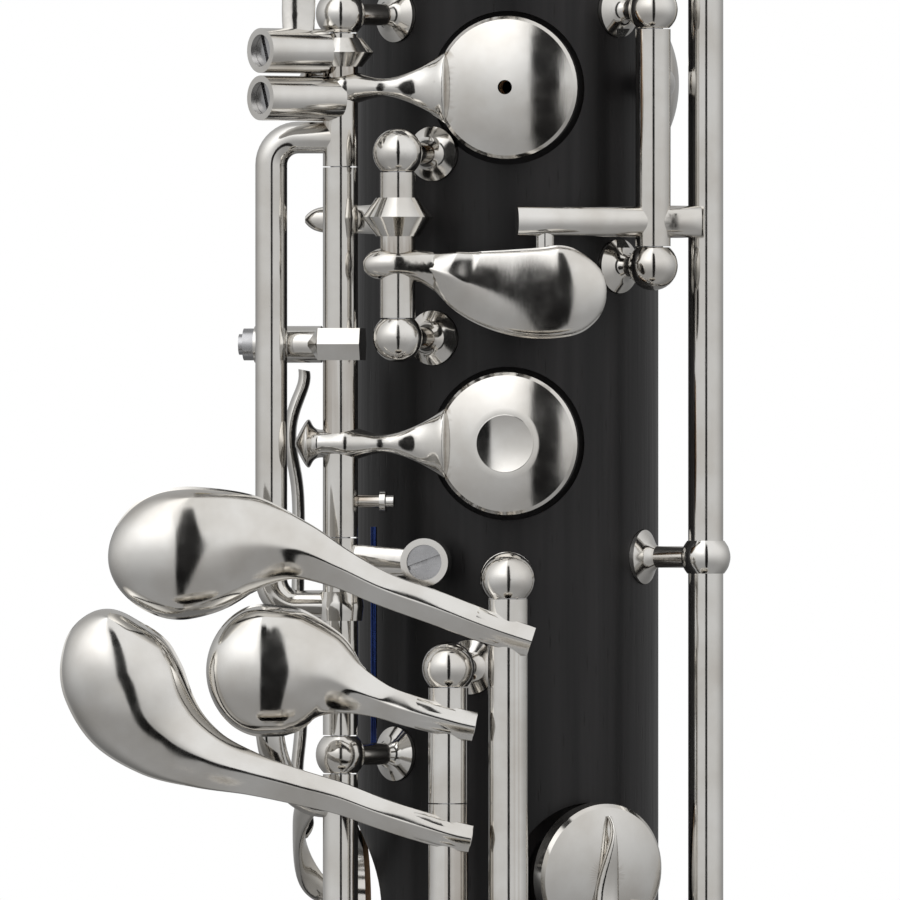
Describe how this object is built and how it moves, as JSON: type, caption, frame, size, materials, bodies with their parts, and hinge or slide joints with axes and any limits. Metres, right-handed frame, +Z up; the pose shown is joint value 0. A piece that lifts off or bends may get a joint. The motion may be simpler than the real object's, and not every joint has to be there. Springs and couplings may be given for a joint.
{
  "type": "bass clarinet",
  "caption": "Black wooden wind instrument with silver keywork on hinge rods, curved metal neck, upturned metal bell and a floor peg.",
  "frame": {"origin": "the tip of the floor peg, on the long axis of the wooden body", "axes": "+Z up the body, -Y towards the finger side, +X to the right as seen from the finger side"},
  "size_m": [0.1228, 0.3904, 0.9697],
  "materials": {
    "wood": "oiled blackwood, satin, fine lengthwise pores",
    "silver": "polished silver plate",
    "steel": "bright turned steel",
    "blue_steel": "blued spring steel",
    "pad": "tan leather",
    "cork": "natural cork",
    "ebonite": "black hard rubber",
    "cane": "dry cane"
  },
  "bodies": {
    "body": {"mouthpiece": "ebonite", "reed": "cane", "ligature": "silver", "neck": "silver", "upper_body": "wood", "lower_body": "wood", "body_rings": "silver", "tenon_corks": "cork", "bell": "silver", "peg_receiver": "silver", "thumb_rest": "silver", "strap_ring": "silver", "posts": "silver", "hinge_rods": "steel", "needle_springs": "blue_steel", "stop_corks": "cork"},
    "right_index": {"right_index_key": "silver", "right_index_pad": "pad"},
    "vented": {"vented_key": "silver", "vented_pad": "pad", "adjusting_screws": "steel"},
    "ring_finger": {"ring_finger_key": "silver", "ring_finger_pad": "pad", "lug_nut": "steel"},
    "spoon": {"middle_finger_spoon": "silver"},
    "side_vent": {"side_vent_key": "silver", "side_vent_pad": "pad"},
    "top_touch": {"top_touch_key": "silver", "f_sharp_pad": "pad"},
    "middle_touch": {"middle_touch_key": "silver"},
    "bottom_touch": {"bottom_touch_key": "silver", "low_e_pad": "pad"},
    "low_f": {"low_f_key": "silver", "low_f_pad": "pad"},
    "rocker": {"rocker_key": "silver", "rocker_pad": "pad"},
    "low_e_flat": {"low_e_flat_key": "silver", "low_e_flat_pad": "pad"},
    "side_link": {"side_link": "silver"},
    "left_index": {"left_index_key": "silver", "left_index_pad": "pad"},
    "left_middle": {"left_middle_key": "silver", "left_middle_pad": "pad"},
    "left_ring": {"left_ring_key": "silver", "left_ring_pad": "pad"},
    "thumb": {"thumb_key": "silver", "thumb_pad": "pad"},
    "trill": {"trill_key": "silver", "trill_pad": "pad"},
    "throat": {"throat_key": "silver", "throat_pad": "pad"},
    "c_sharp": {"c_sharp_key": "silver", "c_sharp_pad": "pad"},
    "register": {"register_key": "silver", "register_pad": "pad"},
    "left_low": {"left_low_lever": "silver"},
    "peg": {"floor_peg": "steel"},
    "peg_screw": {"peg_thumbscrew": "silver"},
    "clamp_screw": {"ligature_screw": "silver"}
  },
  "joints": [
    {"name": "right_index_press", "type": "hinge", "parent": "body", "child": "right_index", "pos_m": [-0.02087, -0.01912, 0.5429], "axis": [0, 0, 1], "range_deg": [0, 8.18], "stiffness_Nm_per_rad": 0.05, "springref_deg": -17.19},
    {"name": "ring_finger_press", "type": "hinge", "parent": "body", "child": "ring_finger", "pos_m": [-0.02087, -0.01912, 0.4577], "axis": [0, 0, 1], "range_deg": [0, 8.18], "stiffness_Nm_per_rad": 0.05, "springref_deg": -17.19},
    {"name": "vented_press", "type": "hinge", "parent": "body", "child": "vented", "pos_m": [-0.02087, -0.01912, 0.5021], "axis": [0, 0, 1], "range_deg": [0, 8.18], "stiffness_Nm_per_rad": 0.05, "springref_deg": -17.19},
    {"name": "spoon_press", "type": "hinge", "parent": "body", "child": "spoon", "pos_m": [-0.0137, -0.02442, 0.4769], "axis": [0, 0, 1], "range_deg": [0, 6.5], "stiffness_Nm_per_rad": 0.05, "springref_deg": -17.19},
    {"name": "side_vent_open", "type": "hinge", "parent": "body", "child": "side_vent", "pos_m": [0.01815, -0.01705, 0.5029], "axis": [0, 0, -1], "range_deg": [0, 8.79], "stiffness_Nm_per_rad": 0.05, "springref_deg": -17.19},
    {"name": "top_touch_press", "type": "hinge", "parent": "body", "child": "top_touch", "pos_m": [0, -0.03, 0.4349], "axis": [0, 0, -1], "range_deg": [0, 7.9], "stiffness_Nm_per_rad": 0.05, "springref_deg": -17.19},
    {"name": "middle_touch_press", "type": "hinge", "parent": "body", "child": "middle_touch", "pos_m": [-0.00741, -0.02907, 0.4239], "axis": [0, 0, -1], "range_deg": [0, 3.42], "stiffness_Nm_per_rad": 0.05, "springref_deg": -17.19},
    {"name": "low_f_press", "type": "hinge", "parent": "body", "child": "low_f", "pos_m": [-0.02087, -0.01912, 0.3994], "axis": [0, 0, -1], "range_deg": [0, 8.43], "stiffness_Nm_per_rad": 0.05, "springref_deg": -17.19},
    {"name": "bottom_touch_press", "type": "hinge", "parent": "body", "child": "bottom_touch", "pos_m": [-0.00741, -0.02907, 0.4089], "axis": [0, 0, -1], "range_deg": [0, 7.75], "stiffness_Nm_per_rad": 0.05, "springref_deg": -17.19},
    {"name": "rocker_press", "type": "hinge", "parent": "body", "child": "rocker", "pos_m": [0.01378, -0.02205, 0.3779], "axis": [-0.848, -0.5299, 0], "range_deg": [0, 7.39], "stiffness_Nm_per_rad": 0.05, "springref_deg": -17.19},
    {"name": "left_low_press", "type": "hinge", "parent": "body", "child": "left_low", "pos_m": [0.02479, -0.01236, 0.6169], "axis": [0, 0, 1], "range_deg": [0, 8.76], "stiffness_Nm_per_rad": 0.05, "springref_deg": -17.19},
    {"name": "side_link_turn", "type": "hinge", "parent": "body", "child": "side_link", "pos_m": [0.02479, -0.01236, 0.4969], "axis": [0, 0, 1], "range_deg": [0, 8.76], "stiffness_Nm_per_rad": 0.05, "springref_deg": -17.19},
    {"name": "low_e_flat_press", "type": "hinge", "parent": "body", "child": "low_e_flat", "pos_m": [0.02479, -0.01236, 0.2769], "axis": [0, 0, 1], "range_deg": [0, 8.76], "stiffness_Nm_per_rad": 0.05, "springref_deg": -17.19},
    {"name": "left_index_press", "type": "hinge", "parent": "body", "child": "left_index", "pos_m": [0.02087, -0.01912, 0.7709], "axis": [0, 0, -1], "range_deg": [0, 8.18], "stiffness_Nm_per_rad": 0.05, "springref_deg": -17.19},
    {"name": "left_middle_press", "type": "hinge", "parent": "body", "child": "left_middle", "pos_m": [0.02087, -0.01912, 0.7349], "axis": [0, 0, -1], "range_deg": [0, 8.18], "stiffness_Nm_per_rad": 0.05, "springref_deg": -17.19},
    {"name": "left_ring_press", "type": "hinge", "parent": "body", "child": "left_ring", "pos_m": [0.02087, -0.01912, 0.6989], "axis": [0, 0, -1], "range_deg": [0, 8.18], "stiffness_Nm_per_rad": 0.05, "springref_deg": -17.19},
    {"name": "thumb_press", "type": "hinge", "parent": "body", "child": "thumb", "pos_m": [0.0207, 0.0193, 0.7649], "axis": [0, 0, 1], "range_deg": [0, 8.35], "stiffness_Nm_per_rad": 0.05, "springref_deg": -17.19},
    {"name": "trill_open", "type": "hinge", "parent": "body", "child": "trill", "pos_m": [-0.02585, -0.01151, 0.7269], "axis": [0, 0, 1], "range_deg": [0, 7], "stiffness_Nm_per_rad": 0.05, "springref_deg": -17.19},
    {"name": "throat_open", "type": "hinge", "parent": "body", "child": "throat", "pos_m": [-0.01415, -0.02451, 0.8249], "axis": [0, 0, -1], "range_deg": [0, 7], "stiffness_Nm_per_rad": 0.05, "springref_deg": -17.19},
    {"name": "c_sharp_open", "type": "hinge", "parent": "body", "child": "c_sharp", "pos_m": [0.00726, -0.02911, 0.6489], "axis": [0, 0, 1], "range_deg": [0, 7], "stiffness_Nm_per_rad": 0.05, "springref_deg": -17.19},
    {"name": "register_open", "type": "hinge", "parent": "body", "child": "register", "pos_m": [0, 0.026, 0.8179], "axis": [-1, 0, 0], "range_deg": [0, 6], "stiffness_Nm_per_rad": 0.05, "springref_deg": -17.19},
    {"name": "peg_slide", "type": "slide", "parent": "body", "child": "peg", "axis": [0, 0, 1], "range_m": [-0.02, 0.007]},
    {"name": "peg_screw_turn", "type": "hinge", "parent": "body", "child": "peg_screw", "pos_m": [0, 0.012, 0.101], "axis": [0, 1, 0], "range_deg": [-180, 180]},
    {"name": "clamp_screw_turn", "type": "hinge", "parent": "body", "child": "clamp_screw", "pos_m": [0, 0.15825, 0.93601], "axis": [1, 0, 0], "range_deg": [-180, 180]}
  ],
  "couplings": [
    {"joint": "vented_press", "follows": "ring_finger_press", "ratio": 1},
    {"joint": "side_vent_open", "follows": "spoon_press", "ratio": 1.3506},
    {"joint": "low_f_press", "follows": "middle_touch_press", "ratio": 2.4625},
    {"joint": "rocker_press", "follows": "top_touch_press", "ratio": 0.935},
    {"joint": "side_link_turn", "follows": "left_low_press", "ratio": 1},
    {"joint": "low_e_flat_press", "follows": "left_low_press", "ratio": 1}
  ]
}
